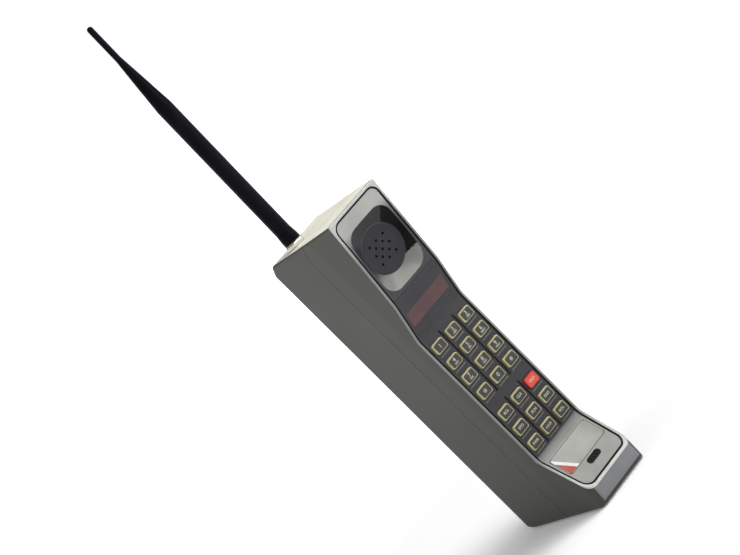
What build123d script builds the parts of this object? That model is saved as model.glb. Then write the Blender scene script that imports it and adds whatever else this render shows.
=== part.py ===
from build123d import *
import math
import os

os.makedirs("parts", exist_ok=True)

# Millimetres. X runs to the right of someone facing the keys, the keys face -Y, +Z is up.
# The origin is under the middle of the base. "Depth" is counted forwards from the back face.

# ---- driving dimensions ----
WIDTH = 44.5
DEPTH = 90.0
DRAFT_START = 62.0         # the sides narrow towards the front from this depth on
DRAFT = 0.05
WALL = 2.0
SEAM = 48.5                # where the front and rear halves meet
SEAM_AT_TOP = 53.5
SEAM_STEP = 212.0          # height where the seam turns forwards
JOINT = 0.15               # joint line between fixed pieces
RIM = 1.6                  # bright rim round the front panels
GROOVE = 1.2               # groove inside the rim
PANEL_INSET = 0.5          # panel surface below the rim
PANEL = 2.4                # panel thickness
LEDGE = 1.6                # ledge that the panels rest on
LEDGE_WIDE = 0.6
CAP = 1.8                  # thickness of the top plates
CAP_EDGE = 1.0
CAP_FRONT = 87.0           # depth of the front end of the top plates
CHIN_CORNER = 5.5
BASE_ROUND = 4.0
BASE_FRONT_ROUND = 6.0
TOP_ROUND = 0.8
RIM_ROUND = 1.0

# side view of the front, from the chin up: (depth, height)
CHIN_EDGE = (89.9, 12.8)
CHIN_TOP = (69.3, 41.0)
SLOPE_FOOT = (69.3, 138.0)
SLOPE_TOP = (79.0, 163.2)
BROW = (90.3, 222.0)
# side view of the base and back
BASE_FRONT = (89.3, 0.0)
BASE_FLAT_END = (14.0, 0.0)
BASE_BACK = (7.0, 0.6)
HEEL = (0.0, 6.0)
BACK_TOP = (0.0, 211.0)
TOP_BACK = (7.6, 219.5)

# panel joints, as heights
EAR_PANEL_LOW = 165.1
CHIN_PANEL_TOP = 43.2

# keys
COLUMN = 13.1
ROW = 12.1
ROW_1 = 128.0
BLOCK_GAP = 5.1            # extra space between the fourth and fifth rows
KEY_WIDE, KEY_TALL = 9.2, 6.9
KEY_PROUD = 1.6            # above the keypad panel
KEY_TRAVEL = 1.2
KEY_CLEAR = 0.25
KEY_FLANGE = 0.8
KEY_STEM = 1.2
MAT_SHEET, MAT_DOME = 0.6, 0.6
BOARD = 1.6                # thickness of every circuit board
BOARD_POSTS = [(-15.0, 135.2), (15.0, 135.2), (-15.0, 83.1), (15.0, 83.1)]
BOARD_POST_R, BOARD_SCREW_R = 2.2, 0.95

# ear, window, nameplate and talking slot
EAR_WIDE, EAR_TALL, EAR_CORNER = 35.0, 45.4, 9.0
EAR_DEEP = 3.9
GRILLE_R, GRILLE = 14.4, 1.8
GRILLE_PITCH, GRILLE_HOLE_R = 6.2, 0.8
WINDOW_WIDE, WINDOW_TALL, WINDOW = 34.0, 9.6, 1.4
NAME_WIDE, NAME_TALL, NAME_CORNER = 34.4, 15.0, 2.0
MIC_WIDE, MIC_TALL = 11.2, 4.4
KEY_ROWS = [["key_1", "key_2", "key_3"], ["key_4", "key_5", "key_6"],
            ["key_7", "key_8", "key_9"], ["key_star", "key_0", "key_hash"],
            ["key_rcl", "key_clr", "key_snd"], ["key_sto", "key_fcn", "key_end"],
            ["key_pwr", "key_lock", "key_vol"]]

# antenna
ANTENNA_X, ANTENNA_DEPTH = -11.3, 29.0
LEAN = math.radians(1.5)   # towards +X
ANTENNA_TOP = 389.4        # height of the tip
SLEEVE_R, FLARE_R, TIP_R = 5.0, 5.5, 1.85
THREAD_R = 3.5
THREAD_DEEP = 8.0

# battery bay
BATTERY_WIDE = 36.0
BATTERY_LOW, BATTERY_HIGH = 12.2, 168.2
BATTERY_DEEP = 19.2
BAY_CLEAR = 0.25
BAY_FLOOR = 2.0            # wall between the battery and the electronics
CELL_R, CELL_LONG = 7.1, 50.0
SCREW_X = 15.4
SCREW_HEIGHTS = (24.0, 150.0)
POST_R, SCREW_R, SCREW_HEAD_R = 3.0, 1.4, 2.8
SCREW_HEAD_AT = 23.0       # depth of the back of the screw heads

POST_LONG = 8.6
SCREW_HEAD = 2.0
CONTACT_SPOTS = [(-8.0, 162.5), (0.0, 162.5), (8.0, 162.5)]
CONTACT_R, PAD_R = 1.2, 2.2
BATTERY_COVER = 2.0
LATCH_WIDE, LATCH_TALL, LATCH_TRAVEL = 12.4, 9.0, 2.5
LATCH_PLATE, TONGUE_WIDE, LATCH_CLEAR = 1.2, 8.0, 0.3
SPRING_R, WIRE = 1.9, 0.25

# radio, boards and ringer
LOGIC_DEPTH, RADIO_DEPTH = 53.0, 29.5
RINGER_DEPTH, RINGER_PITCH, RINGER_HOLE_R, RINGER_TOP = 75.0, 3.1, 0.7, 214.4
DIGITS, DIGIT_PITCH = 8, 3.3
CHANNEL_WIDE, CHANNEL_DEEP = 1.5, 0.8
SILL_TALL, SILL_PROUD = 1.0, 0.45   # the low bar under each key
NAME_SEAT = 0.4
SOCKET_R, SOCKET_TOP, NUT_LIFT, NUT_FLAT, SHOULDER = 4.5, 2.7, 0.45, 11.6, 0.6
SPIGOT_R, SPIGOT_LONG, WIRE_R = 2.5, 9.0, 1.3
SLEEVE_LONG, TAPER_END = 108.0, 145.0

SPARE = 40.0               # spare length of bodies that only cut


def y_at(depth):
    return DEPTH / 2 - depth


def half_width(depth):
    return WIDTH / 2 - DRAFT * max(0.0, depth - DRAFT_START)


def top_height(depth):
    rise = (BROW[1] - TOP_BACK[1]) / (BROW[0] - TOP_BACK[0])
    return TOP_BACK[1] + rise * (depth - TOP_BACK[0])


def side_view(points, rounds=()):
    """Closed outline in the side view; rounds lists ((depth, height), radius) corners."""
    with BuildSketch(Plane.YZ) as view:
        with BuildLine():
            Polyline([(y_at(depth), height) for depth, height in points], close=True)
        make_face()
        for (depth, height), radius in rounds:
            fillet(view.vertices().sort_by_distance((y_at(depth), height))[0], radius)
    return view.sketch


def plan_view(inset, back_round):
    """Outline seen from above: straight at the back, narrowing towards the front."""
    front = DEPTH + SPARE
    wide, narrow = half_width(0) - inset, half_width(front) - inset
    with BuildSketch(Plane.XY) as view:
        with BuildLine():
            Polyline([(-wide, y_at(inset)), (wide, y_at(inset)), (wide, y_at(DRAFT_START)),
                      (narrow, y_at(front)), (-narrow, y_at(front)),
                      (-wide, y_at(DRAFT_START))], close=True)
        make_face()
        fillet(view.vertices().group_by(Axis.Y)[-1], back_round)
    return view.sketch


def front_corners(inset):
    """The front face moved back by inset, from the chin up."""
    return [(depth - inset, height)
            for depth, height in (CHIN_EDGE, CHIN_TOP, SLOPE_FOOT, SLOPE_TOP, BROW)]


def front_rounds(inset):
    chin_edge, chin_top, slope_foot, slope_top, brow = front_corners(inset)
    return [(chin_top, 10.0), (slope_foot, 10.0), (slope_top, 8.0)]


def along(start, end, distance):
    """A point on the line from start to end, by its distance from start."""
    share = distance / math.dist(start, end)
    return (start[0] + share * (end[0] - start[0]), start[1] + share * (end[1] - start[1]))


def front_strip(near, far):
    """Slab that follows the front face, between two depths under it."""
    sides = []
    for inset in (near, far):
        corners = front_corners(inset)
        foot = along(corners[1], corners[0], SPARE + SPARE)
        head = along(corners[3], corners[4], SPARE + SPARE)
        sides.append([foot] + corners[1:4] + [head])
    points = sides[0] + sides[1][::-1]
    with BuildPart() as strip:
        extrude(side_view(points, front_rounds(near) + front_rounds(far)),
                amount=WIDTH, both=True)
    return strip.part


def front_view(inset, radius, low=None, high=None):
    """Column through the phone whose outline is inset from its sides, seen from the front."""
    run, reach = CHIN_TOP[1] - CHIN_EDGE[1], CHIN_EDGE[0] - CHIN_TOP[0]
    foot = CHIN_EDGE[1] + inset * run / math.hypot(run, reach)
    corners = [(CHIN_EDGE[0], foot), CHIN_TOP, SLOPE_FOOT, SLOPE_TOP, (BROW[0], BROW[1] - inset)]
    side = [(half_width(depth) - inset, height) for depth, height in corners]
    other_side = [(-x, height) for x, height in reversed(side)]
    with BuildPart() as column:
        with BuildSketch(Plane.XZ) as view:
            with BuildLine():
                Polyline(side + other_side, close=True)
            make_face()
            rows = view.vertices().group_by(Axis.Y)
            fillet(rows[0] + rows[-1], radius)
        extrude(amount=DEPTH, both=True)
        if low is not None:
            split(bisect_by=Plane.XY.offset(low), keep=Keep.TOP)
        if high is not None:
            split(bisect_by=Plane.XY.offset(high), keep=Keep.BOTTOM)
    return column.part


def tilted_plane(depth, height, toward_depth, toward_height):
    """Plane facing out of the front, square to a side-view line that runs up the phone."""
    length = math.hypot(toward_depth, toward_height)
    normal = (0, -toward_height / length, -toward_depth / length)
    return Plane(origin=(0, y_at(depth), height), x_dir=(1, 0, 0), z_dir=normal)


def surface_plane(low, high, distance_from_low):
    """Plane lying on the front panels, between two corners of the side view."""
    depth, height = along(low, high, distance_from_low)
    return tilted_plane(depth - PANEL_INSET, height, high[0] - low[0], high[1] - low[1])


EAR_PLANE = surface_plane(SLOPE_TOP, BROW, 26.2)
SLOPE_PLANE = surface_plane(SLOPE_FOOT, SLOPE_TOP, 13.4)
NAME_PLANE = surface_plane(CHIN_EDGE, CHIN_TOP, 22.6)
MIC_PLANE = surface_plane(CHIN_EDGE, CHIN_TOP, 11.4)
KEY_PLANE = tilted_plane(SLOPE_FOOT[0] - PANEL_INSET, 0.0, 0.0, 1.0)

lean_up = Vector(math.sin(LEAN), 0, math.cos(LEAN))
antenna_foot = Vector(ANTENNA_X, y_at(ANTENNA_DEPTH), top_height(ANTENNA_DEPTH))
ANTENNA_AXIS = Axis(antenna_foot, lean_up)
ANTENNA_SECTION = Plane(antenna_foot, x_dir=(math.cos(LEAN), 0, -math.sin(LEAN)),
                        z_dir=(0, -1, 0))
ANTENNA_PLANE = Plane(antenna_foot, x_dir=(math.cos(LEAN), 0, -math.sin(LEAN)),
                      z_dir=lean_up)
ANTENNA_LONG = (ANTENNA_TOP - antenna_foot.Z) / math.cos(LEAN)


def row_height(row):
    return ROW_1 - ROW * row - (BLOCK_GAP if row > 3 else 0.0)


def key_spots():
    return [(COLUMN * (column - 1), row_height(row))
            for row in range(len(KEY_ROWS)) for column in range(3)]


def save(part, name):
    part.label = name
    export_step(part, f"parts/{name}.step")


def on_front_edge(edge):
    """True for the edges between the front face and the sides, top and chin band."""
    middle = edge @ 0.5
    depth = DEPTH / 2 - middle.Y
    at_side = abs(abs(middle.X) - half_width(depth)) < 0.05
    at_end = min(abs(middle.Z - CHIN_EDGE[1]), abs(middle.Z - BROW[1])) < 1.0
    return depth > SLOPE_FOOT[0] - 8.0 and middle.Z > CHIN_EDGE[1] - 0.3 and (at_side or at_end)


# ---- the closed outer form, which both halves are cut from ----
outline = [BASE_FRONT, CHIN_EDGE, CHIN_TOP, SLOPE_FOOT, SLOPE_TOP, BROW,
           TOP_BACK, BACK_TOP, HEEL, BASE_BACK, BASE_FLAT_END]
back_rounds = [(TOP_BACK, 3.0), (BACK_TOP, 3.0), (HEEL, 2.5), (BASE_BACK, 3.0)]
with BuildPart() as form:
    extrude(side_view(outline, front_rounds(0.0) + back_rounds), amount=WIDTH, both=True)
    extrude(plan_view(0.0, 4.0), amount=BROW[1] + SPARE, mode=Mode.INTERSECT)
    upright = form.edges().filter_by_position(Axis.Z, 0.0, CHIN_EDGE[1])
    chin_sides = upright.filter_by_position(Axis.Y, y_at(DEPTH), y_at(BASE_FRONT[0] - 1.0))
    fillet(chin_sides.filter_by(lambda edge: abs(edge.center().X) > half_width(DEPTH) - 1.0),
           CHIN_CORNER)
    extrude(side_view([(DEPTH + SPARE, BROW[1] + SPARE), (-SPARE, BROW[1] + SPARE),
                       (-SPARE, 0.0), BASE_FRONT, along(CHIN_EDGE, BASE_FRONT, -SPARE)],
                      [(BASE_FRONT, BASE_FRONT_ROUND)]),
            amount=WIDTH, both=True, mode=Mode.INTERSECT)
    with BuildSketch(Plane.XZ) as ends:
        with Locations((0, BROW[1] / 2)):
            Rectangle(WIDTH, BROW[1])
        fillet(ends.vertices().group_by(Axis.Y)[0], BASE_ROUND)
        fillet(ends.vertices().group_by(Axis.Y)[-1], TOP_ROUND)
    extrude(amount=DEPTH, both=True, mode=Mode.INTERSECT)
    fillet(form.edges().filter_by(on_front_edge), RIM_ROUND)

with BuildPart() as hollow:
    back = BATTERY_DEEP + BAY_CLEAR + BAY_FLOOR
    deep = PANEL_INSET + PANEL + LEDGE
    face = front_corners(deep)
    chin_wall = CHIN_EDGE[0] - 2.6
    chin_foot = along(face[0], face[1], (chin_wall - face[0][0]) / (face[1][0] - face[0][0])
                      * math.dist(face[0], face[1]))
    extrude(side_view([(back, WALL), (chin_wall, WALL), chin_foot,
                       face[1], face[2], face[3],
                       along(face[3], face[4], 52.5), (back, top_height(back) - CAP - WALL)],
                      front_rounds(deep) + [((chin_wall, WALL), 4.5)]),
            amount=WIDTH, both=True)
    extrude(plan_view(WALL, 1.0), amount=BROW[1], mode=Mode.INTERSECT)

with BuildPart() as seam_front:
    extrude(side_view([(SEAM, -SPARE), (SEAM, SEAM_STEP), (SEAM_AT_TOP, BROW[1] - CAP),
                       (SEAM_AT_TOP, BROW[1] + SPARE), (DEPTH + SPARE, BROW[1] + SPARE),
                       (DEPTH + SPARE, -SPARE)]),
            amount=WIDTH, both=True)

with BuildPart() as cap_seat:
    points = [(depth, top_height(depth) + rise) for depth, rise in
              ((10.5, SPARE), (10.5, -CAP), (CAP_FRONT, -CAP), (CAP_FRONT, SPARE))]
    extrude(side_view(points), amount=WIDTH, both=True)
    extrude(plan_view(CAP_EDGE, 3.0), amount=BROW[1] + 2 * SPARE, mode=Mode.INTERSECT)

# the recess that the front panels lie in, and the window inside the ledge they rest on
with BuildPart() as panel_recess:
    add(front_strip(-SPARE / 2, PANEL_INSET + PANEL))
    add(front_view(RIM, 6.0), mode=Mode.INTERSECT)

with BuildPart() as panel_window:
    add(front_strip(PANEL_INSET, PANEL_INSET + PANEL + 2 * LEDGE))
    add(front_view(RIM + GROOVE + LEDGE_WIDE, 4.2), mode=Mode.INTERSECT)


def facing(depth):
    """Plane at a depth, facing forwards: its X is the phone's X, its Y is height."""
    return Plane.XZ.offset(depth - DEPTH / 2)


SCREW_SPOTS = [(side * SCREW_X, height) for side in (-1, 1) for height in SCREW_HEIGHTS]
bay_deep = BATTERY_DEEP + BAY_CLEAR
bay_low, bay_high = BATTERY_LOW - BAY_CLEAR, BATTERY_HIGH + BAY_CLEAR
columns_start = SEAM + 2 * JOINT
key_plane_depth = SLOPE_FOOT[0] - PANEL_INSET
stem_end = key_plane_depth - PANEL - 0.1 - KEY_FLANGE - KEY_STEM
board_front = stem_end - KEY_TRAVEL - 0.15 - MAT_DOME - MAT_SHEET - 0.05
latch_low = bay_high + WALL + 3.0
spring_low = latch_low + LATCH_TALL + LATCH_TRAVEL + 3.6
spring_top = spring_low + 11.0

# ---- front half ----
with BuildPart() as front_housing:
    add(form.part)
    add(seam_front.part.moved(Location((0, -JOINT, 0))), mode=Mode.INTERSECT)
    add(hollow.part, mode=Mode.SUBTRACT)
    add(cap_seat.part, mode=Mode.SUBTRACT)
    add(panel_recess.part, mode=Mode.SUBTRACT)
    add(panel_window.part, mode=Mode.SUBTRACT)
    # posts on the side walls, which the case screws bite into
    with BuildSketch(facing(columns_start)):
        with Locations(*SCREW_SPOTS):
            Circle(POST_R)
        with Locations(*[(x + math.copysign(POST_R, x), height) for x, height in SCREW_SPOTS]):
            Rectangle(2 * POST_R, 2 * POST_R)
    extrude(amount=POST_LONG)
    with BuildSketch(facing(columns_start)):
        with Locations(*SCREW_SPOTS):
            Circle(SCREW_R)
    extrude(amount=POST_LONG, mode=Mode.SUBTRACT)
    # sound holes of the ringer
    with BuildSketch(Plane.XY.offset(BROW[1])):
        with Locations((0, y_at(RINGER_DEPTH))):
            with GridLocations(RINGER_PITCH, 1.0, 3, 1):
                Circle(RINGER_HOLE_R)
    extrude(amount=-CAP - 4 * WALL, mode=Mode.SUBTRACT)
save(front_housing.part, "front_housing")

with BuildPart() as top_plates:
    ends = (10.5 + JOINT, CAP_FRONT - JOINT)
    extrude(side_view([(ends[0], top_height(ends[0])), (ends[0], top_height(ends[0]) - CAP),
                       (ends[1], top_height(ends[1]) - CAP), (ends[1], top_height(ends[1]))]),
            amount=WIDTH, both=True)
    extrude(plan_view(CAP_EDGE + JOINT, 3.0), amount=BROW[1] + SPARE, mode=Mode.INTERSECT)

with BuildPart() as top_cap_front:
    add(top_plates.part)
    add(seam_front.part.moved(Location((0, -2 * JOINT, 0))), mode=Mode.INTERSECT)
    with BuildSketch(Plane.XY.offset(BROW[1])):
        with Locations((0, y_at(RINGER_DEPTH))):
            with GridLocations(RINGER_PITCH, 1.0, 3, 1):
                Circle(RINGER_HOLE_R)
    extrude(amount=-2 * CAP, mode=Mode.SUBTRACT)
save(top_cap_front.part, "top_cap_front")

with BuildPart() as front_gasket:
    add(front_strip(PANEL_INSET + 0.9, PANEL_INSET + PANEL))
    add(front_view(RIM + 0.05, 5.9), mode=Mode.INTERSECT)
    add(front_view(RIM + GROOVE - 0.05, 4.7), mode=Mode.SUBTRACT)
save(front_gasket.part, "front_gasket")

# ---- ear panel: a slab with a cup that narrows from a rounded oblong to a round seat ----
with BuildPart() as ear_panel:
    add(front_strip(PANEL_INSET, PANEL_INSET + PANEL))
    add(front_view(RIM + GROOVE, 4.6, low=EAR_PANEL_LOW), mode=Mode.INTERSECT)
    with BuildSketch(EAR_PLANE.offset(-1.0)):
        RectangleRounded(EAR_WIDE, EAR_TALL, EAR_CORNER)
    with BuildSketch(EAR_PLANE.offset(-EAR_DEEP - GRILLE)):
        Circle(GRILLE_R + 1.8)
    loft()
    with BuildSketch(EAR_PLANE.offset(-EAR_DEEP - GRILLE)):
        Circle(GRILLE_R + 1.8)
    extrude(amount=-1.2)
    with BuildSketch(EAR_PLANE.offset(0.4)):
        RectangleRounded(EAR_WIDE, EAR_TALL, EAR_CORNER)
    with BuildSketch(EAR_PLANE.offset(-EAR_DEEP)):
        Circle(GRILLE_R + 0.3)
    loft(mode=Mode.SUBTRACT)
    with BuildSketch(EAR_PLANE.offset(-EAR_DEEP)):
        Circle(GRILLE_R + 0.1)
    extrude(amount=-GRILLE, mode=Mode.SUBTRACT)
    with BuildSketch(EAR_PLANE.offset(-EAR_DEEP)):
        Circle(GRILLE_R - 2.5)
    extrude(amount=-GRILLE - SPARE, mode=Mode.SUBTRACT)
save(ear_panel.part, "ear_panel")

with BuildPart() as ear_grille:
    with BuildSketch(EAR_PLANE.offset(-EAR_DEEP)):
        Circle(GRILLE_R)
    extrude(amount=-GRILLE)
    dish_r = (0.9 ** 2 + (GRILLE_R - 1.0) ** 2) / (2 * 0.9)
    with Locations(EAR_PLANE.offset(-EAR_DEEP - 0.9 + dish_r)):
        Sphere(dish_r, mode=Mode.SUBTRACT)
    with BuildSketch(EAR_PLANE.offset(-EAR_DEEP)):
        with GridLocations(GRILLE_PITCH, GRILLE_PITCH, 3, 3):
            Circle(GRILLE_HOLE_R)
        with GridLocations(GRILLE_PITCH, GRILLE_PITCH, 2, 2):
            Circle(GRILLE_HOLE_R)
    extrude(amount=-GRILLE, mode=Mode.SUBTRACT)
save(ear_grille.part, "ear_grille")

with BuildPart() as earpiece_capsule:
    with BuildSketch(EAR_PLANE.offset(-EAR_DEEP - GRILLE - 1.4)):
        Circle(GRILLE_R - 1.0)
    extrude(amount=-5.0)
    with BuildSketch(EAR_PLANE.offset(-EAR_DEEP - GRILLE - 6.4)):
        Circle(GRILLE_R / 2)
    extrude(amount=-3.0)
save(earpiece_capsule.part, "earpiece_capsule")

# ---- keypad panel: display slope, key openings, channels between the columns ----
with BuildPart() as keypad_panel:
    add(front_strip(PANEL_INSET, PANEL_INSET + PANEL))
    add(front_view(RIM + GROOVE, 4.6, low=CHIN_PANEL_TOP + JOINT, high=EAR_PANEL_LOW - JOINT),
        mode=Mode.INTERSECT)
    with BuildSketch(SLOPE_PLANE.offset(1.0)):
        RectangleRounded(WINDOW_WIDE + JOINT, WINDOW_TALL + JOINT, 1.0)
    extrude(amount=-1.0 - WINDOW, mode=Mode.SUBTRACT)
    with BuildSketch(SLOPE_PLANE):
        Rectangle(WINDOW_WIDE - 3.0, WINDOW_TALL - 3.0)
    extrude(amount=-2 * PANEL, mode=Mode.SUBTRACT)
    with BuildSketch(KEY_PLANE):
        for top_row, low_row in ((0, 3), (4, 6)):
            top = row_height(top_row) + ROW / 2
            low = row_height(low_row) - ROW / 2
            with Locations(*[(side * COLUMN / 2, (top + low) / 2) for side in (-1, 1)]):
                SlotOverall(top - low, CHANNEL_WIDE, rotation=90)
    extrude(amount=-CHANNEL_DEEP, mode=Mode.SUBTRACT)
    with BuildSketch(KEY_PLANE):
        with Locations(*key_spots()):
            RectangleRounded(KEY_WIDE + 2 * KEY_CLEAR, KEY_TALL + 2 * KEY_CLEAR, 1.4)
    extrude(amount=-2 * PANEL, mode=Mode.SUBTRACT)
    with BuildSketch(KEY_PLANE):
        with Locations(*[(x, height - KEY_TALL / 2 - 1.9) for x, height in key_spots()]):
            Rectangle(KEY_WIDE, SILL_TALL)
    extrude(amount=SILL_PROUD, taper=30)
    with BuildSketch(KEY_PLANE.offset(-PANEL)):
        with Locations(*BOARD_POSTS):
            Circle(BOARD_POST_R)
    extrude(amount=-(key_plane_depth - PANEL - board_front))
    with BuildSketch(KEY_PLANE.offset(board_front - key_plane_depth)):
        with Locations(*BOARD_POSTS):
            Circle(BOARD_SCREW_R)
    extrude(amount=PANEL + 2.0, mode=Mode.SUBTRACT)
save(keypad_panel.part, "keypad_panel")

with BuildPart() as display_window:
    with BuildSketch(SLOPE_PLANE.offset(-0.1)):
        RectangleRounded(WINDOW_WIDE, WINDOW_TALL, 0.9)
    extrude(amount=-WINDOW + 0.15)
save(display_window.part, "display_window")

with BuildPart() as display_module:
    with BuildSketch(SLOPE_PLANE.offset(-PANEL - 2.4)):
        Rectangle(WINDOW_WIDE - 2.0, WINDOW_TALL + 3.0)
    extrude(amount=-1.2)
    with BuildSketch(SLOPE_PLANE.offset(-PANEL - 2.4)):
        Rectangle(WINDOW_WIDE - 5.0, WINDOW_TALL - 4.0)
    extrude(amount=1.2)
    with BuildSketch(SLOPE_PLANE.offset(-PANEL - 1.2)):
        with GridLocations(DIGIT_PITCH, 1.0, DIGITS, 1):
            SlotOverall(4.4, 2.4, rotation=90)
    extrude(amount=0.8)
save(display_module.part, "display_module")

# ---- keys ----
def make_key(name, spot):
    with BuildPart() as key:
        with BuildSketch(KEY_PLANE.offset(-PANEL - 0.1)):
            with Locations(spot):
                RectangleRounded(KEY_WIDE, KEY_TALL, 1.2)
        extrude(amount=PANEL + 0.4)
        with BuildSketch(KEY_PLANE.offset(0.3)):
            with Locations(spot):
                RectangleRounded(KEY_WIDE, KEY_TALL, 1.2)
        extrude(amount=KEY_PROUD - 0.3, taper=8)
        fillet(key.faces().sort_by(Axis.Y)[0].edges(), 0.4)
        with BuildSketch(KEY_PLANE.offset(-PANEL - 0.1)):
            with Locations(spot):
                RectangleRounded(KEY_WIDE + 0.2, KEY_TALL + 2 * KEY_CLEAR + 1.4, 1.2)
        extrude(amount=-KEY_FLANGE)
        with BuildSketch(KEY_PLANE.offset(-PANEL - 0.1 - KEY_FLANGE)):
            with Locations(spot):
                Circle(1.6)
        extrude(amount=-KEY_STEM)
    save(key.part, name)


for row, names in enumerate(KEY_ROWS):
    for column, name in enumerate(names):
        make_key(name, (COLUMN * (column - 1), row_height(row)))

mat_low, mat_high = row_height(6) - 5.5, ROW_1 + 6.0
with BuildPart() as key_mat:
    with BuildSketch(facing(board_front + 0.05)):
        with Locations((0, (mat_low + mat_high) / 2)):
            Rectangle(2 * COLUMN + KEY_WIDE, mat_high - mat_low)
        with Locations(*BOARD_POSTS):
            Circle(BOARD_POST_R + 0.4, mode=Mode.SUBTRACT)
    extrude(amount=MAT_SHEET)
    with BuildSketch(facing(board_front + 0.05 + MAT_SHEET)):
        with Locations(*key_spots()):
            Circle(3.3)
    extrude(amount=MAT_DOME, taper=35)
save(key_mat.part, "key_mat")

with BuildPart() as keypad_board:
    with BuildSketch(facing(board_front - BOARD)):
        with Locations((0, (mat_low + BOARD_POSTS[0][1]) / 2)):
            Rectangle(2 * COLUMN + KEY_WIDE + 1.0, BOARD_POSTS[0][1] - mat_low + 8.0)
        with Locations(*BOARD_POSTS):
            Circle(BOARD_SCREW_R + 0.1, mode=Mode.SUBTRACT)
    extrude(amount=BOARD)
save(keypad_board.part, "keypad_board")

with BuildPart() as board_screws:
    with BuildSketch(facing(board_front - BOARD - 1.3)):
        with Locations(*BOARD_POSTS):
            Circle(1.9)
    extrude(amount=1.25)
    with BuildSketch(facing(board_front - BOARD - 0.1)):
        with Locations(*BOARD_POSTS):
            Circle(BOARD_SCREW_R - 0.05)
    extrude(amount=BOARD + 4.0)
save(board_screws.part, "board_screws")

# ---- chin: panel, plate and talking slot ----
with BuildPart() as chin_panel:
    add(front_strip(PANEL_INSET, PANEL_INSET + PANEL))
    add(front_view(RIM + GROOVE, 4.6, high=CHIN_PANEL_TOP), mode=Mode.INTERSECT)
    with BuildSketch(NAME_PLANE.offset(1.0)):
        RectangleRounded(NAME_WIDE + JOINT, NAME_TALL + JOINT, NAME_CORNER)
    extrude(amount=-1.0 - NAME_SEAT, mode=Mode.SUBTRACT)
    with BuildSketch(MIC_PLANE.offset(1.0)):
        SlotOverall(MIC_WIDE, MIC_TALL)
    extrude(amount=-2 * PANEL, mode=Mode.SUBTRACT)
    with BuildSketch(MIC_PLANE.offset(-PANEL / 2)):
        Circle(5.7)
        Circle(4.7, mode=Mode.SUBTRACT)
        SlotOverall(MIC_WIDE, MIC_TALL, mode=Mode.SUBTRACT)
    extrude(amount=-5.0)
save(chin_panel.part, "chin_panel")

with BuildPart() as nameplate:
    with BuildSketch(NAME_PLANE.offset(-NAME_SEAT)):
        RectangleRounded(NAME_WIDE, NAME_TALL, NAME_CORNER)
    extrude(amount=NAME_SEAT + 0.15)
save(nameplate.part, "nameplate")

with BuildPart() as mic_grille:
    with BuildSketch(MIC_PLANE.offset(-0.9)):
        SlotOverall(MIC_WIDE - 0.1, MIC_TALL - 0.1)
        with GridLocations(2.4, 1.0, 3, 1):
            Circle(0.5, mode=Mode.SUBTRACT)
    extrude(amount=-1.0)
save(mic_grille.part, "mic_grille")

with BuildPart() as microphone_capsule:
    with BuildSketch(MIC_PLANE.offset(-PANEL - 0.2)):
        Circle(4.6)
    extrude(amount=-4.6)
save(microphone_capsule.part, "microphone_capsule")

with BuildPart() as ringer:
    with BuildSketch(Plane.XY.offset(RINGER_TOP)):
        with Locations((0, y_at(RINGER_DEPTH))):
            Circle(6.5)
    extrude(amount=-4.0)
save(ringer.part, "ringer")

# ---- rear half ----
with BuildPart() as rear_housing:
    add(form.part)
    add(seam_front.part.moved(Location((0, JOINT, 0))), mode=Mode.SUBTRACT)
    add(hollow.part, mode=Mode.SUBTRACT)
    add(cap_seat.part, mode=Mode.SUBTRACT)
    # space for the radio above the battery
    radio = [(WALL, bay_high + WALL), (SEAM, bay_high + WALL),
             (SEAM, top_height(SEAM) - CAP - WALL),
             (TOP_BACK[0] + 2.0, top_height(TOP_BACK[0]) - CAP - WALL), (WALL, BACK_TOP[1])]
    extrude(side_view(radio), amount=WIDTH / 2 - WALL, both=True, mode=Mode.SUBTRACT)
    with BuildSketch(facing(0.0)):
        with Locations((0, (bay_low + bay_high) / 2)):
            RectangleRounded(BATTERY_WIDE + 2 * BAY_CLEAR, bay_high - bay_low, 1.8)
    extrude(amount=bay_deep, mode=Mode.SUBTRACT)
    # columns that the case screws pass through
    with BuildSketch(facing(bay_deep)):
        with Locations(*SCREW_SPOTS):
            Circle(SCREW_HEAD_R + 1.2)
    extrude(amount=SEAM - JOINT - bay_deep)
    with BuildSketch(facing(0.0)):
        with Locations(*SCREW_SPOTS):
            Circle(SCREW_HEAD_R + 0.2)
    extrude(amount=SCREW_HEAD_AT + SCREW_HEAD, mode=Mode.SUBTRACT)
    with BuildSketch(facing(0.0)):
        with Locations(*SCREW_SPOTS):
            Circle(SCREW_R + 0.1)
    extrude(amount=SEAM, mode=Mode.SUBTRACT)
    # openings of the latch: window in the back wall, slot into the bay
    with BuildSketch(facing(0.0)):
        with Locations((0, latch_low + (LATCH_TALL + LATCH_TRAVEL) / 2)):
            Rectangle(LATCH_WIDE + 2 * LATCH_CLEAR, LATCH_TALL + LATCH_TRAVEL + 2 * LATCH_CLEAR)
    extrude(amount=WALL, mode=Mode.SUBTRACT)
    with BuildSketch(facing(WALL)):
        with Locations((0, bay_high + WALL / 2)):
            Rectangle(TONGUE_WIDE + 2 * LATCH_CLEAR, 2 * WALL)
    extrude(amount=LATCH_PLATE + 2 * LATCH_CLEAR, mode=Mode.SUBTRACT)
    with BuildSketch(facing(WALL)):
        with Locations((0, spring_top + 1.0)):
            Rectangle(8.0, 2.0)
    extrude(amount=5.6)
    # holes of the battery contacts and of the antenna socket
    with BuildSketch(facing(bay_deep)):
        with Locations(*CONTACT_SPOTS):
            Circle(CONTACT_R + 0.1)
    extrude(amount=BAY_FLOOR, mode=Mode.SUBTRACT)
    with BuildSketch(ANTENNA_PLANE.offset(SPARE / 4)):
        Circle(SOCKET_R + 0.1)
    extrude(amount=-SPARE / 2, mode=Mode.SUBTRACT)
save(rear_housing.part, "rear_housing")

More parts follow.
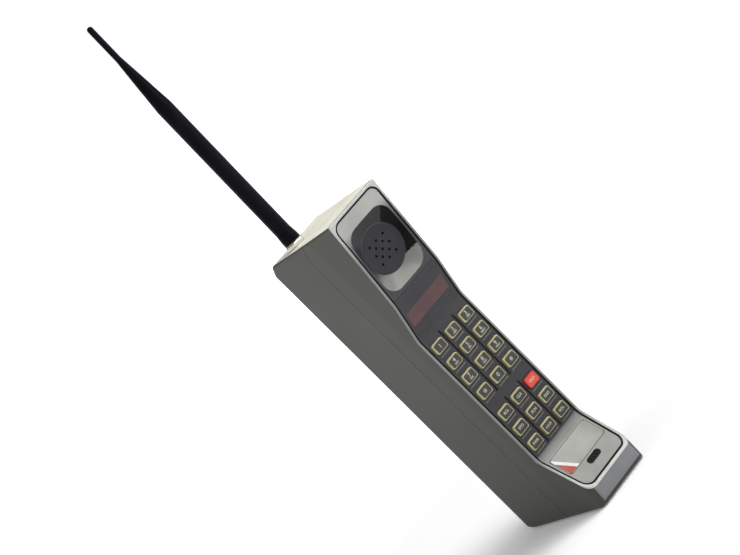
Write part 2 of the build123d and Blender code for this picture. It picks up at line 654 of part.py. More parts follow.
with BuildPart() as top_cap_rear:
    add(top_plates.part)
    add(seam_front.part.moved(Location((0, 2 * JOINT, 0))), mode=Mode.SUBTRACT)
    with BuildSketch(ANTENNA_PLANE.offset(SPARE / 4)):
        Circle(SOCKET_R + 0.1)
    extrude(amount=-SPARE / 2, mode=Mode.SUBTRACT)
save(top_cap_rear.part, "top_cap_rear")

with BuildPart() as case_screws:
    with BuildSketch(facing(SCREW_HEAD_AT)):
        with Locations(*SCREW_SPOTS):
            Circle(SCREW_HEAD_R)
            RectangleRounded(0.7, 3.6, 0.3, mode=Mode.SUBTRACT)
            RectangleRounded(3.6, 0.7, 0.3, mode=Mode.SUBTRACT)
    extrude(amount=SCREW_HEAD / 2)
    with BuildSketch(facing(SCREW_HEAD_AT + SCREW_HEAD / 2)):
        with Locations(*SCREW_SPOTS):
            Circle(SCREW_HEAD_R)
    extrude(amount=SCREW_HEAD / 2 - 0.05)
    with BuildSketch(facing(SCREW_HEAD_AT + SCREW_HEAD / 2)):
        with Locations(*SCREW_SPOTS):
            Circle(SCREW_R - 0.05)
    extrude(amount=columns_start + POST_LONG - 2.0 - SCREW_HEAD_AT)
save(case_screws.part, "case_screws")

# ---- antenna, about an axis that leans a little to the right ----
socket_low = -CAP - WALL - 5.0
with BuildPart() as antenna_socket:
    with BuildSketch(ANTENNA_SECTION):
        with BuildLine():
            Polyline((THREAD_R + 0.06, SOCKET_TOP), (SOCKET_R, SOCKET_TOP),
                     (SOCKET_R, -CAP - WALL - 0.3), (SOCKET_R + 2.4, -CAP - WALL - 0.3),
                     (SOCKET_R + 2.4, -CAP - WALL - 2.3), (SOCKET_R, -CAP - WALL - 2.3),
                     (SOCKET_R, socket_low), (THREAD_R + 0.06, socket_low), close=True)
        make_face()
    revolve(axis=ANTENNA_AXIS)
save(antenna_socket.part, "antenna_socket")

with BuildPart() as antenna_nut:
    with BuildSketch(ANTENNA_PLANE.offset(NUT_LIFT)):
        RegularPolygon(NUT_FLAT / 2, 6, major_radius=False)
        Circle(SOCKET_R + 0.06, mode=Mode.SUBTRACT)
    extrude(amount=SOCKET_TOP - NUT_LIFT)
    chamfer(antenna_nut.faces().sort_by(Axis.Z)[-1].outer_wire().edges(), 0.35)
save(antenna_nut.part, "antenna_nut")

sheath_low = SOCKET_TOP + SHOULDER
with BuildPart() as antenna_stud:
    with BuildSketch(ANTENNA_SECTION):
        with BuildLine():
            Polyline((0, SOCKET_TOP - THREAD_DEEP), (THREAD_R, SOCKET_TOP - THREAD_DEEP),
                     (THREAD_R, SOCKET_TOP + 0.05), (SLEEVE_R - 0.5, SOCKET_TOP + 0.05),
                     (SLEEVE_R - 0.5, sheath_low), (SPIGOT_R, sheath_low),
                     (SPIGOT_R, sheath_low + SPIGOT_LONG), (0, sheath_low + SPIGOT_LONG),
                     close=True)
        make_face()
    revolve(axis=ANTENNA_AXIS)
save(antenna_stud.part, "antenna_stud")

with BuildPart() as antenna_sheath:
    with BuildSketch(ANTENNA_SECTION) as sheath_section:
        with BuildLine():
            Polyline((SPIGOT_R, sheath_low), (FLARE_R, sheath_low), (FLARE_R, sheath_low + 3.0),
                     (SLEEVE_R, sheath_low + 8.0), (SLEEVE_R, SLEEVE_LONG),
                     (TIP_R, TAPER_END), (TIP_R, ANTENNA_LONG), (0, ANTENNA_LONG),
                     (0, ANTENNA_LONG - 4.0), (WIRE_R, ANTENNA_LONG - 4.0),
                     (WIRE_R, sheath_low + SPIGOT_LONG), (SPIGOT_R, sheath_low + SPIGOT_LONG),
                     close=True)
        make_face()
        tip_corner = sheath_section.vertices().sort_by_distance((TIP_R, ANTENNA_LONG))[0]
        fillet(tip_corner, TIP_R - 0.1)
        shoulder = sheath_section.vertices().sort_by_distance((SLEEVE_R, SLEEVE_LONG))[0]
        fillet(shoulder, 6.0)
        neck = sheath_section.vertices().sort_by_distance((TIP_R, TAPER_END))[0]
        fillet(neck, 6.0)
    revolve(axis=ANTENNA_AXIS)
save(antenna_sheath.part, "antenna_sheath")

with BuildPart() as antenna_element:
    with BuildSketch(ANTENNA_PLANE.offset(sheath_low + SPIGOT_LONG + 0.1)):
        Circle(WIRE_R - 0.1)
    extrude(amount=ANTENNA_LONG - 4.2 - sheath_low - SPIGOT_LONG)
save(antenna_element.part, "antenna_element")

# ---- boards and radio ----
def board(depth, name):
    middle = (SCREW_HEIGHTS[0] + SCREW_HEIGHTS[1]) / 2
    with BuildPart() as plate:
        with BuildSketch(facing(depth)):
            with Locations((0, middle)):
                Rectangle(BATTERY_WIDE, SCREW_HEIGHTS[1] - SCREW_HEIGHTS[0] + 14.0)
            with Locations(*[(x + math.copysign(1.0, x), height) for x, height in SCREW_SPOTS]):
                Rectangle(10.0, 10.0, mode=Mode.SUBTRACT)
        extrude(amount=BOARD)
    save(plate.part, name)


board(LOGIC_DEPTH, "logic_board")
board(RADIO_DEPTH, "transceiver_board")

with BuildPart() as logic_chips:
    with BuildSketch(facing(LOGIC_DEPTH + BOARD + 0.05)):
        for height in (45.0, 75.0, 105.0):
            with Locations((-8.0, height)):
                Rectangle(14.0, 18.0)
            with Locations((9.0, height)):
                Rectangle(10.0, 22.0)
    extrude(amount=2.2)
save(logic_chips.part, "logic_chips")

with BuildPart() as transceiver_shield:
    with BuildSketch(facing(RADIO_DEPTH + BOARD + 0.05)):
        with Locations((0, 87.0)):
            RectangleRounded(32.0, 100.0, 1.5)
    extrude(amount=9.0)
    with BuildSketch(facing(RADIO_DEPTH + BOARD + 0.05)):
        with Locations((0, 87.0)):
            RectangleRounded(31.0, 99.0, 1.0)
    extrude(amount=8.5, mode=Mode.SUBTRACT)
save(transceiver_shield.part, "transceiver_shield")

with BuildPart() as duplexer_filter:
    with BuildSketch(facing(RADIO_DEPTH)):
        with Locations((0, 186.0)):
            RectangleRounded(32.0, 24.0, 1.0)
    extrude(amount=14.0)
    with BuildSketch(facing(RADIO_DEPTH)):
        with Locations((0, 186.0)):
            with GridLocations(5.0, 1.0, 6, 1):
                Circle(1.2)
    extrude(amount=-1.0)
save(duplexer_filter.part, "duplexer_filter")

# ---- battery and its latch ----
battery_middle = (BATTERY_LOW + BATTERY_HIGH) / 2
battery_tall = BATTERY_HIGH - BATTERY_LOW
with BuildPart() as battery_case:
    with BuildSketch(facing(BATTERY_COVER)):
        with Locations((0, battery_middle)):
            RectangleRounded(BATTERY_WIDE, battery_tall, 1.8)
    extrude(amount=BATTERY_DEEP - BATTERY_COVER)
    with BuildSketch(facing(BATTERY_COVER)):
        with Locations((0, battery_middle)):
            Rectangle(BATTERY_WIDE - 2.6, battery_tall - 2.6)
    extrude(amount=BATTERY_DEEP - BATTERY_COVER - 1.2, mode=Mode.SUBTRACT)
    with BuildSketch(facing(BATTERY_DEEP)):
        with Locations(*CONTACT_SPOTS):
            Circle(PAD_R + 0.05)
    extrude(amount=-2.0, mode=Mode.SUBTRACT)
save(battery_case.part, "battery_case")

with BuildPart() as battery_cover:
    with BuildSketch(facing(0.0)):
        with Locations((0, battery_middle)):
            RectangleRounded(BATTERY_WIDE, battery_tall, 1.8)
    extrude(amount=BATTERY_COVER)
    # ribbed finger grip near the lower end
    with BuildSketch(facing(0.0)):
        with Locations((0, BATTERY_LOW + 16.0)):
            with GridLocations(1.0, 2.4, 1, 8):
                SlotOverall(22.0, 1.2)
    extrude(amount=0.7, mode=Mode.SUBTRACT)
save(battery_cover.part, "battery_cover")

with BuildPart() as battery_cells:
    cell_gap = CELL_LONG + 0.4
    for side in (-1, 1):
        for step in (-1, 0, 1):
            start = battery_middle + step * cell_gap - CELL_LONG / 2
            with BuildSketch(Plane.XY.offset(start)):
                with Locations((side * (CELL_R + 0.1), y_at(BATTERY_COVER + CELL_R + 0.4))):
                    Circle(CELL_R)
            extrude(amount=CELL_LONG)
save(battery_cells.part, "battery_cells")

with BuildPart() as battery_contacts:
    with BuildSketch(facing(BATTERY_DEEP - 1.1)):
        with Locations(*CONTACT_SPOTS):
            Circle(PAD_R)
    extrude(amount=1.1)
save(battery_contacts.part, "battery_contacts")

with BuildPart() as body_contacts:
    with BuildSketch(facing(bay_deep - 0.1)):
        with Locations(*CONTACT_SPOTS):
            Circle(CONTACT_R)
    extrude(amount=5.0)
save(body_contacts.part, "body_contacts")

with BuildPart() as battery_latch:
    with BuildSketch(facing(0.0)):
        with Locations((0, latch_low + LATCH_TALL / 2)):
            RectangleRounded(LATCH_WIDE, LATCH_TALL, 0.8)
    extrude(amount=WALL + 0.3)
    with BuildSketch(facing(0.0)):
        with Locations((0, latch_low + LATCH_TALL / 2)):
            with GridLocations(1.0, 1.6, 1, 4):
                Rectangle(LATCH_WIDE - 3.0, 0.7)
    extrude(amount=0.6, mode=Mode.SUBTRACT)
    flange_low, flange_high = bay_high + WALL + 0.3, spring_low
    with BuildSketch(facing(WALL + 0.3)):
        with Locations((0, (flange_low + flange_high) / 2)):
            Rectangle(LATCH_WIDE + 3.0, flange_high - flange_low)
        with Locations((0, flange_low - 1.0)):
            Rectangle(TONGUE_WIDE, 2.4)
    extrude(amount=LATCH_PLATE)
    with BuildSketch(facing(WALL + 0.3)):
        with Locations((0, spring_low - 1.0)):
            Rectangle(6.0, 2.0)
    extrude(amount=5.2)
save(battery_latch.part, "battery_latch")

spring_long = spring_top - spring_low - 0.2
with BuildPart() as latch_spring:
    spring_foot = (0, y_at(WALL + 0.3 + 3.0), spring_low + 0.35)
    with BuildLine():
        Helix(pitch=(spring_long - 0.6) / 6, height=spring_long - 0.6, radius=SPRING_R,
              center=spring_foot)
    with BuildSketch(Plane((SPRING_R, spring_foot[1], spring_foot[2]), z_dir=(0, 1, 0))):
        Circle(WIRE)
    sweep(is_frenet=True)
save(latch_spring.part, "latch_spring")
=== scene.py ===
import bpy
from math import cos, pi, radians, sin
from mathutils import Matrix, Vector


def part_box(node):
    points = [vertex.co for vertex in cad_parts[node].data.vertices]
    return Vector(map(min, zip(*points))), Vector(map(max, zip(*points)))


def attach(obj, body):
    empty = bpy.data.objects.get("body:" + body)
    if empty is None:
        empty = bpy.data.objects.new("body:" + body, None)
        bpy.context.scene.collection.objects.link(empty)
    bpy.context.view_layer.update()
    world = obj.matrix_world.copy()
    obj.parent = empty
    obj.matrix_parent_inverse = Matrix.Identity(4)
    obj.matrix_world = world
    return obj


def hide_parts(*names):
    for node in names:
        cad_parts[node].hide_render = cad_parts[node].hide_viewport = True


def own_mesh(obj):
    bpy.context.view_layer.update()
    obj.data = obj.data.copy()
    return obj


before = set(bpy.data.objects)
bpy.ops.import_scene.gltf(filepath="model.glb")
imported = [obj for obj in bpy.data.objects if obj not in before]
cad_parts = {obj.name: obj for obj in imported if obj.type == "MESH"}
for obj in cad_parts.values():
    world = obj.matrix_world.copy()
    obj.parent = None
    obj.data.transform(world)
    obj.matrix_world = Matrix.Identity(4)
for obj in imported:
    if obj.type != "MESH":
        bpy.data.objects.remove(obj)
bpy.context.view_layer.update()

# ---- camera ----
# Stands to the left of the keypad and a little above it, and is turned so that the antenna
# points up and to the left.
camera_data = bpy.data.cameras.new("camera")
camera_data.lens = 126.2
camera_data.sensor_width = 36.0
camera_data.clip_start = 0.05
camera_data.clip_end = 50.0
camera_data.dof.use_dof = False
camera = bpy.data.objects.new("camera", camera_data)
bpy.context.collection.objects.link(camera)
aim = Vector((0.0290, 0.0588, 0.1685))
camera_distance = 1.535
azimuth, elevation, roll = radians(-27.0), radians(8.91), radians(-45.05)
towards_camera = Vector((sin(azimuth) * cos(elevation), -cos(azimuth) * cos(elevation),
                         sin(elevation)))
level = Vector((0, 0, 1)).cross(towards_camera).normalized()
turn = Matrix((level, towards_camera.cross(level), towards_camera)).transposed()
camera.matrix_world = (Matrix.Translation(aim + camera_distance * towards_camera)
                       @ turn.to_4x4() @ Matrix.Rotation(roll, 4, "Z"))
bpy.context.scene.camera = camera


# ---- floor and light ----
# A white studio floor that runs out of sight into a white room, with a large soft light
# above and to the right and weaker ones in front and behind. The floor glows more with
# distance, so that its far edge is white.
def linear(colour):
    """Turns an sRGB hex colour into the linear RGBA that shader sockets hold."""
    parts = [int(colour[start:start + 2], 16) / 255 for start in (1, 3, 5)]
    return tuple(v / 12.92 if v <= 0.04045 else ((v + 0.055) / 1.055) ** 2.4
                 for v in parts) + (1.0,)


def add_node(tree, kind, settings=None, inputs=None):
    """Adds a node; an input is a value, or a (node, output) pair that it is linked from."""
    node = tree.nodes.new(kind)
    for name, value in (settings or {}).items():
        setattr(node, name, value)
    for name, value in (inputs or {}).items():
        if isinstance(value, tuple) and isinstance(value[0], bpy.types.Node):
            tree.links.new(value[0].outputs[value[1]], node.inputs[name])
        else:
            node.inputs[name].default_value = value
    return node


def fade_in_height(tree, shader, tone, levels, low_colour):
    """Lays a second colour over the tone, by height; levels lists (height in m, share)."""
    place = add_node(tree, "ShaderNodeTexCoord")
    parts = add_node(tree, "ShaderNodeSeparateXYZ", inputs={0: (place, "Object")})
    share = add_node(tree, "ShaderNodeMapRange",
                     inputs={0: (parts, 2), 1: levels[0][0], 2: levels[-1][0]})
    ramp = add_node(tree, "ShaderNodeValToRGB", inputs={0: (share, 0)})
    reach = levels[-1][0] - levels[0][0]
    while len(ramp.color_ramp.elements) < len(levels):
        ramp.color_ramp.elements.new(0.5)
    for stop, (height, amount) in zip(ramp.color_ramp.elements, levels):
        stop.position = (height - levels[0][0]) / reach
        stop.color = (amount, amount, amount, 1.0)
    mixed = add_node(tree, "ShaderNodeMix", {"data_type": "RGBA"},
                     {0: (ramp, 0), 6: (tone, 2), 7: linear(low_colour)})
    tree.links.new(mixed.outputs[2], shader.inputs["Base Color"])


def finish(name, low, high, scale, rough, metal=0.0, relief=0.0, fine=None, specular=0.5,
           fade=None):
    """A surface whose colour, gloss and height vary with one slow and one fine noise.

    fade is (levels, colour), for a second colour that comes in with height.
    """
    material = bpy.data.materials.new(name)
    material.use_nodes = True
    tree = material.node_tree
    shader = tree.nodes["Principled BSDF"]
    place = add_node(tree, "ShaderNodeTexCoord")
    slow = add_node(tree, "ShaderNodeTexNoise",
                    inputs={"Vector": (place, "Object"), "Scale": scale, "Detail": 5.0,
                            "Roughness": 0.6})
    spread = add_node(tree, "ShaderNodeMapRange", inputs={0: (slow, 0), 1: 0.35, 2: 0.65})
    tone = add_node(tree, "ShaderNodeMix", {"data_type": "RGBA"},
                    {0: (spread, 0), 6: linear(low), 7: linear(high)})
    tree.links.new(tone.outputs[2], shader.inputs["Base Color"])
    gloss = add_node(tree, "ShaderNodeMapRange",
                     inputs={0: (slow, 0), 1: 0.3, 2: 0.7, 3: rough - 0.05, 4: rough + 0.05})
    tree.links.new(gloss.outputs[0], shader.inputs["Roughness"])
    shader.inputs["Metallic"].default_value = metal
    shader.inputs["Specular IOR Level"].default_value = specular
    if relief:
        grain = add_node(tree, "ShaderNodeTexNoise",
                         inputs={"Vector": (place, "Object"), "Scale": fine, "Detail": 3.0})
        bump = add_node(tree, "ShaderNodeBump",
                        inputs={"Height": (grain, 0), "Strength": relief, "Distance": 0.0001})
        tree.links.new(bump.outputs[0], shader.inputs["Normal"])
    if fade:
        fade_in_height(tree, shader, tone, *fade)
    return material


def wear(material, *names):
    """Gives CAD nodes a material, by name."""
    for name in names:
        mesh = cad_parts[name].data
        mesh.materials.clear()
        mesh.materials.append(material)


def wear_where(material, name, chosen):
    """Gives a CAD node a further material on the faces that chosen(centre, normal) picks."""
    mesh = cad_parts[name].data
    mesh.materials.append(material)
    last = len(mesh.materials) - 1
    for face in mesh.polygons:
        if chosen(face.center, face.normal):
            face.material_index = last


bpy.context.scene.view_settings.view_transform = "Standard"
world = bpy.data.worlds.new("white_room")
bpy.context.scene.world = world
world.use_nodes = True
room = world.node_tree
room_light = room.nodes["Background"]
room_light.inputs["Color"].default_value = linear("#FFFFFF")
room_light.inputs["Strength"].default_value = 0.36
backdrop = add_node(room, "ShaderNodeBackground",
                    inputs={"Color": linear("#FFFFFF"), "Strength": 1.0})
ray = add_node(room, "ShaderNodeLightPath")
seen = add_node(room, "ShaderNodeMixShader",
                inputs={0: (ray, "Is Camera Ray"), 1: (room_light, 0), 2: (backdrop, 0)})
room.links.new(seen.outputs[0], room.nodes["World Output"].inputs["Surface"])

bpy.ops.mesh.primitive_plane_add(size=14.0, location=(0, 0, 0))
floor = bpy.context.object
floor.name = "floor"
floor_paint = finish("white_studio_floor", "#FCFCFC", "#FFFFFF", 3.0, 0.9, specular=0.1)
tree = floor_paint.node_tree
shader = tree.nodes["Principled BSDF"]
shader.inputs["Emission Color"].default_value = linear("#FFFFFF")
place = add_node(tree, "ShaderNodeTexCoord")
reach = add_node(tree, "ShaderNodeVectorMath", {"operation": "LENGTH"},
                 {0: (place, "Object")})
near, far = 0.25, 0.9
near_glow, far_glow = 0.09, 1.0
glow = add_node(tree, "ShaderNodeMapRange",
                inputs={0: (reach, "Value"), 1: near, 2: far, 3: near_glow, 4: far_glow})
tree.links.new(glow.outputs[0], shader.inputs["Emission Strength"])
floor.data.materials.append(floor_paint)

for name, place, size, power in (("overhead_softbox", (0.5, -0.5, 1.7), 1.0, 20.0),
                                 ("front_right_softbox", (1.1, -1.5, 0.7), 0.9, 9.0),
                                 ("back_left_softbox", (-1.2, 0.9, 0.9), 0.9, 2.5)):
    data = bpy.data.lights.new(name, "AREA")
    data.shape = "SQUARE"
    data.size = size
    data.energy = power
    lamp = bpy.data.objects.new(name, data)
    bpy.context.collection.objects.link(lamp)
    away = (Vector(place) - Vector((0, 0, 0.15))).normalized()
    lamp.matrix_world = (Matrix.Translation(place)
                         @ away.to_track_quat("Z", "Y").to_matrix().to_4x4())

# ---- casing ----
# Two half shells and the battery pack, injection moulded in ABS with a fine spark-eroded
# texture; four screws from the battery bay draw the halves together.
case_abs = finish("spark_eroded_abs", "#3B3A36", "#44433E", 26.0, 0.5, relief=0.3, fine=1500.0,
                  specular=0.35)
wear(case_abs, "front_housing", "rear_housing", "battery_case", "battery_cover")

# The front edge is a painted highlight, palest round the chin and grey along the sides, and
# the strip in front of the top plate is pale as well.
rim_painted_highlight = finish("pale_rim_painted_highlight", "#B9BAB6", "#C6C7C3", 60.0, 0.32, metal=0.15,
                   fade=([(0.0200, 0.0), (0.0450, 0.8), (0.1950, 0.8), (0.2150, 0.3)], "#5E5F5D"))
chin_band_top = 0.0119
top_strip_back, top_strip_low = -0.0415, 0.2195
wear_where(rim_painted_highlight, "front_housing",
           lambda centre, normal: (normal.y < -0.55 and centre.z > chin_band_top)
           or (normal.z > 0.7 and centre.y < top_strip_back and centre.z > top_strip_low))
# The chin band is the housing's own plastic painted lighter: painted light on the front.
chin_band_painted_light = finish("chin_band_lacquer_painted_light", "#727376", "#7C7D80", 60.0, 0.4)
wear_where(chin_band_painted_light, "front_housing",
           lambda centre, normal: normal.y < -0.9 and centre.z < chin_band_top)

# ---- top plates ----
# Plates let into the top of each half, moulded smooth; their pale cream is painted light
# for the strong light falling on the top.
top_cream_painted_light = finish("cream_abs_painted_light", "#E8E5D2", "#F5F3E6", 45.0, 0.42)
wear(top_cream_painted_light, "top_cap_front", "top_cap_rear")

# ---- panel seal ----
# Black rubber cord pressed into the groove between the rim and the front panels.
seal_rubber = finish("black_seal_rubber", "#0B0B0C", "#151517", 120.0, 0.7, relief=0.2,
                     fine=900.0)
wear(seal_rubber, "front_gasket")

# ---- ear panel ----
# Moulded panel, silver at the top and fading to charcoal down its sides: a painted reflection;
# the cup narrows to a round seat, where a dished charcoal grille with thirteen holes covers the
# earpiece. The cup's upper walls carry painted shade and its right-hand wall a painted shadow.
ear_painted_reflection = finish("silver_to_charcoal_painted_reflection", "#90918D", "#A0A19C", 40.0, 0.38, metal=0.35,
                     relief=0.1, fine=2500.0,
                     fade=([(0.1950, 1.0), (0.2040, 0.75), (0.2110, 0.0)], "#343538"))
wear(ear_painted_reflection, "ear_panel")
# Painted shade: the cup's walls go dark towards the top, and stay silver below.
cup_painted_shade_levels = [(0.1690, 0.0), (0.1770, 0.15), (0.1850, 0.9), (0.1950, 1.0)]
cup_painted_shade = finish("cup_painted_shade", "#70716B", "#81827C", 40.0, 0.36, metal=0.35,
                     fade=(cup_painted_shade_levels, "#222326"))
wear_where(cup_painted_shade, "ear_panel",
           lambda centre, normal: normal.y > -0.975 or abs(normal.x) > 0.05)
# Painted shadow: the cup's right-hand wall is near black.
cup_shade = finish("cup_painted_shadow", "#09090A", "#0F0F11", 60.0, 0.5, specular=0.1)
cup_shade_low, cup_half_width = 0.178, 0.0185
wear_where(cup_shade, "ear_panel",
           lambda centre, normal: normal.x < -0.25 and centre.z > cup_shade_low
           and abs(centre.x) < cup_half_width)
grille_abs = finish("charcoal_grille", "#1E1F22", "#27282C", 90.0, 0.42, relief=0.1, fine=2500.0,
                    specular=0.25)
wear(grille_abs, "ear_grille")

# ---- keypad panel and display ----
# Charcoal panel with painted shade in the channels between the key columns and a painted
# highlight on the low sill under each key; its slope holds the dark red acrylic that the
# display's digits shine through.
panel_abs = finish("charcoal_panel", "#29292D", "#323236", 55.0, 0.42, relief=0.15, fine=1800.0,
                   specular=0.35)
wear(panel_abs, "keypad_panel")
# Painted shade in the channels between the key columns.
channel_painted_shade = finish("channel_painted_shade", "#0E0E11", "#17171A", 55.0, 0.5)
panel_face = 0.045 - 0.0688
keypad_top = 0.137
wear_where(channel_painted_shade, "keypad_panel",
           lambda centre, normal: centre.z < keypad_top
           and panel_face + 0.0002 < centre.y < panel_face + 0.0009)
# Painted highlight on the upward-facing sill under each key.
sill_painted_highlight = finish("painted_highlight_sill", "#58585B", "#68686B", 80.0, 0.45)
wear_where(sill_painted_highlight, "keypad_panel",
           lambda centre, normal: centre.z < keypad_top and centre.y < panel_face - 0.0001)
red_acrylic = finish("dark_red_acrylic", "#401C22", "#4C262C", 90.0, 0.22)
acrylic_shader = red_acrylic.node_tree.nodes["Principled BSDF"]
acrylic_shader.inputs["Coat Weight"].default_value = 0.3
wear(red_acrylic, "display_window")

# ---- keys ----
# Keys moulded in a cream plastic that shows round the edge of the dark printed top; the
# send key is red all over. The figures and words are printed in white on each top.
key_cream = finish("cream_key_plastic", "#A8A070", "#C4BC92", 200.0, 0.34)
key_red = finish("red_key_plastic", "#B02A18", "#C23824", 200.0, 0.34)
top_print = finish("dark_key_top", "#232521", "#2E302B", 260.0, 0.4, relief=0.15, fine=2500.0)
red_print = finish("red_key_top", "#CC3A22", "#DA4A30", 260.0, 0.4)
white_ink = finish("white_key_ink", "#A6A89C", "#BEC0B2", 400.0, 0.5)


def slab(name, middle, size, corner, material):
    """A thin plate facing -Y with rounded corners; size is across, thick, up."""
    bpy.ops.mesh.primitive_cube_add(size=1.0, location=(0, 0, 0))
    plate = bpy.context.object
    plate.name = name
    plate.scale = size
    bpy.ops.object.transform_apply(location=False, rotation=False, scale=True)
    bpy.ops.object.mode_set(mode="EDIT")
    bpy.ops.mesh.select_mode(type="EDGE")
    bpy.ops.mesh.select_all(action="DESELECT")
    bpy.ops.object.mode_set(mode="OBJECT")
    points = plate.data.vertices
    for edge in plate.data.edges:
        start, end = (points[index].co for index in edge.vertices)
        edge.select = abs(start.y - end.y) > 0.5 * size[1]
    bpy.ops.object.mode_set(mode="EDIT")
    bpy.ops.mesh.bevel(offset=corner, segments=5, affect="EDGES")
    bpy.ops.object.mode_set(mode="OBJECT")
    plate.location = middle
    bpy.ops.object.transform_apply(location=True, rotation=False, scale=False)
    plate.data.materials.append(material)
    return plate


def words(name, text, middle, size, material):
    """Printed lettering that faces -Y."""
    bpy.ops.object.text_add(location=(0, 0, 0))
    print_run = bpy.context.object
    print_run.data.body = text
    print_run.data.size = size
    print_run.data.align_x = "CENTER"
    print_run.data.align_y = "CENTER"
    print_run.data.offset = 0.000045
    print_run.data.extrude = 0.00002
    bpy.ops.object.convert(target="MESH")
    print_run.name = name
    print_run.location = middle
    print_run.rotation_euler = (pi / 2, 0, 0)
    bpy.ops.object.transform_apply(location=True, rotation=True, scale=False)
    print_run.data.materials.append(material)
    return print_run


legends = {"key_1": ("1", ""), "key_2": ("2", "ABC"), "key_3": ("3", "DEF"),
           "key_4": ("4", "GHI"), "key_5": ("5", "JKL"), "key_6": ("6", "MNO"),
           "key_7": ("7", "PRS"), "key_8": ("8", "TUV"), "key_9": ("9", "WXY"),
           "key_star": ("*", ""), "key_0": ("0", ""), "key_hash": ("#", ""),
           "key_rcl": ("", "RCL"), "key_clr": ("", "CLR"), "key_snd": ("", "SND"),
           "key_sto": ("", "STO"), "key_fcn": ("", "FCN"), "key_end": ("", "END"),
           "key_pwr": ("", "PWR"), "key_lock": ("", "LOCK"), "key_vol": ("", "VOL")}
top_size, top_corner = (0.0078, 0.00012, 0.0056), 0.0009
figure_size, star_size = 0.0034, 0.0058
figure_raise, star_drop = 0.0007, 0.0012
letters_size, letters_drop = 0.0016, 0.0015
word_size, long_word_size = 0.0023, 0.0019
for key, (figure, word) in legends.items():
    red = key == "key_snd"
    wear(key_red if red else key_cream, key)
    low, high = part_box(key)
    x, y, z = (low.x + high.x) / 2, low.y, (low.z + high.z) / 2
    top = slab(f"{key}_top", (x + 0.0001, y + 0.00003, z - 0.0001), top_size, top_corner,
               red_print if red else top_print)
    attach(top, key)
    ink_y = y - 0.00004
    runs = []
    if figure:
        shift = figure_raise if word else (-star_drop if figure == "*" else 0.0)
        runs.append(words(f"{key}_figure", figure, (x, ink_y, z + shift),
                          star_size if figure == "*" else figure_size, white_ink))
    if figure and word:
        runs.append(words(f"{key}_word", word, (x, ink_y, z - letters_drop), letters_size,
                          white_ink))
    elif word:
        runs.append(words(f"{key}_word", word, (x, ink_y, z),
                          long_word_size if len(word) > 3 else word_size, white_ink))
    for run in runs:
        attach(run, key)

# ---- chin ----
# Silver lacquered panel with painted shade darkening it under the keypad, with a thin metal
# plate and the dark slotted cover of the microphone.
chin_painted_shade = finish("chin_silver_painted_shade", "#82837E", "#92938E", 45.0, 0.4, metal=0.3,
                      relief=0.1, fine=2500.0,
                      fade=([(0.0335, 0.0), (0.0395, 0.25), (0.0430, 0.8)], "#4A4A4B"))
wear(chin_painted_shade, "chin_panel")
plate_metal = finish("brushed_plate", "#83847F", "#94958F", 50.0, 0.36, metal=0.4)
wear(plate_metal, "nameplate")
plate_edge = finish("plate_edge_black", "#1A1A1B", "#242425", 90.0, 0.5)
chin_out = Vector((0.0, -0.8075, 0.5899))
wear_where(plate_edge, "nameplate", lambda centre, normal: normal.dot(chin_out) < 0.7)


def flash(name, corners, lift, material):
    """A flat patch lifted off the plate's face; corners are (across, up the plate) in mm."""
    bpy.ops.mesh.primitive_circle_add(vertices=len(corners), fill_type="NGON")
    patch = bpy.context.object
    patch.name = name
    for point, (across, up) in zip(patch.data.vertices, corners):
        point.co = (across / 1000, up / 1000, 0)
    points = [point.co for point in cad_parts["nameplate"].data.vertices]
    level = max(point.dot(chin_out) for point in points)
    low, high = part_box("nameplate")
    middle = (low + high) / 2
    middle += (level + lift - middle.dot(chin_out)) * chin_out
    sideways = Vector((1.0, 0.0, 0.0))
    turn = Matrix((sideways, chin_out.cross(sideways), chin_out)).transposed()
    patch.matrix_world = Matrix.Translation(middle) @ turn.to_4x4()
    bpy.ops.object.transform_apply(location=True, rotation=True, scale=False)
    patch.data.materials.append(material)
    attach(patch, "phone")


# A thin black line is laid round the plate, and a plain two-colour flash is painted across
# its lower corner.
outline = []
corner_across, corner_up, corner_radius, corner_steps = 15.9, 6.2, 1.6, 5
for side, end, start in ((1, 1, 0), (-1, 1, 90), (-1, -1, 180), (1, -1, 270)):
    for step in range(corner_steps + 1):
        angle = radians(start + 90 / corner_steps * step)
        outline.append((side * corner_across + corner_radius * cos(angle),
                     end * corner_up + corner_radius * sin(angle)))
outline_lift, paint_lift = -0.00012, 0.00003
flash("plate_black_outline", outline, outline_lift, plate_edge)
flash_red = finish("red_flash_paint", "#A8382C", "#B84638", 300.0, 0.4)
flash_white = finish("white_flash_paint", "#D8DAD6", "#E6E8E4", 300.0, 0.4)
flash("plate_flash_red", [(-16.9, -7.2), (-11.2, -7.2), (-16.9, 3.6)], paint_lift, flash_red)
flash("plate_flash_white", [(-16.9, 4.0), (-10.9, -7.2), (-8.7, -7.2), (-16.2, 7.1), (-16.9, 6.6)],
      paint_lift, flash_white)
mic_black = finish("mic_cover_black", "#0C0C0D", "#151517", 300.0, 0.5, specular=0.15)
wear(mic_black, "mic_grille")
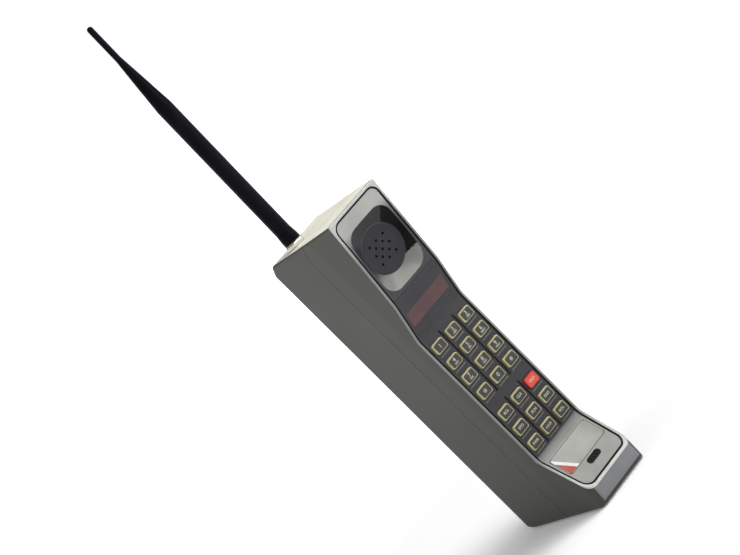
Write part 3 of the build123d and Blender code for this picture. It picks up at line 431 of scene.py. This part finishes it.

# ---- antenna ----
# Helical whip sheathed in black rubber, whose slight blue tint is a painted sheen; its brass
# stud screws into a nickel-plated socket held by a nut of the same finish.
whip_rubber = finish("antenna_rubber", "#08080D", "#0E0E16", 30.0, 0.36, relief=0.05,
                     fine=1200.0, specular=0.05)
wear(whip_rubber, "antenna_sheath")
nickel = finish("nickel_plate", "#B8B6AE", "#D8D6CE", 90.0, 0.25, metal=0.9, relief=0.1,
                fine=1500.0)
wear(nickel, "antenna_nut", "antenna_socket")
brass = finish("plated_brass", "#B59A5A", "#CDB57A", 120.0, 0.3, metal=0.9)
wear(brass, "antenna_stud", "antenna_element", "body_contacts", "battery_contacts")

# ---- inside ----
# Boards, cans, cells and screws that only show when the pack is off or a part is taken out.
laminate = finish("green_board_laminate", "#1F4A30", "#2A5C3C", 160.0, 0.4)
wear(laminate, "keypad_board", "logic_board", "transceiver_board")
chip_epoxy = finish("chip_epoxy", "#18181A", "#242426", 400.0, 0.55)
wear(chip_epoxy, "logic_chips")
tinplate = finish("tinned_steel", "#A9ABAC", "#C2C4C5", 70.0, 0.32, metal=0.85)
wear(tinplate, "transceiver_shield", "duplexer_filter")
bright_steel = finish("screw_steel", "#8C8E90", "#A6A8AA", 200.0, 0.3, metal=0.9)
wear(bright_steel, "case_screws", "board_screws", "latch_spring")
capsule_can = finish("capsule_can", "#77787A", "#8E8F91", 120.0, 0.4, metal=0.7)
wear(capsule_can, "earpiece_capsule", "microphone_capsule", "ringer")
mat_rubber = finish("mat_rubber", "#55565A", "#626367", 90.0, 0.65, relief=0.1, fine=1000.0)
wear(mat_rubber, "key_mat")
digit_cells = finish("display_glass", "#2A1416", "#3A1B1E", 150.0, 0.25)
wear(digit_cells, "display_module")
cell_wrap = finish("cell_wrap", "#2D4A6B", "#3A5A7E", 80.0, 0.35)
wear(cell_wrap, "battery_cells")

# The catch's spring is a copy with a mesh of its own, carried by the case; the CAD spring is
# hidden.
spring_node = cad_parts["latch_spring"]
coil = spring_node.copy()
coil.data = spring_node.data.copy()
coil.name = "catch_return_spring"
bpy.context.collection.objects.link(coil)
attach(coil, "phone")
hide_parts("latch_spring")
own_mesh(coil)
latch_abs = finish("latch_plastic", "#1B1B1D", "#28282A", 120.0, 0.5, relief=0.2, fine=1200.0)
wear(latch_abs, "battery_latch")
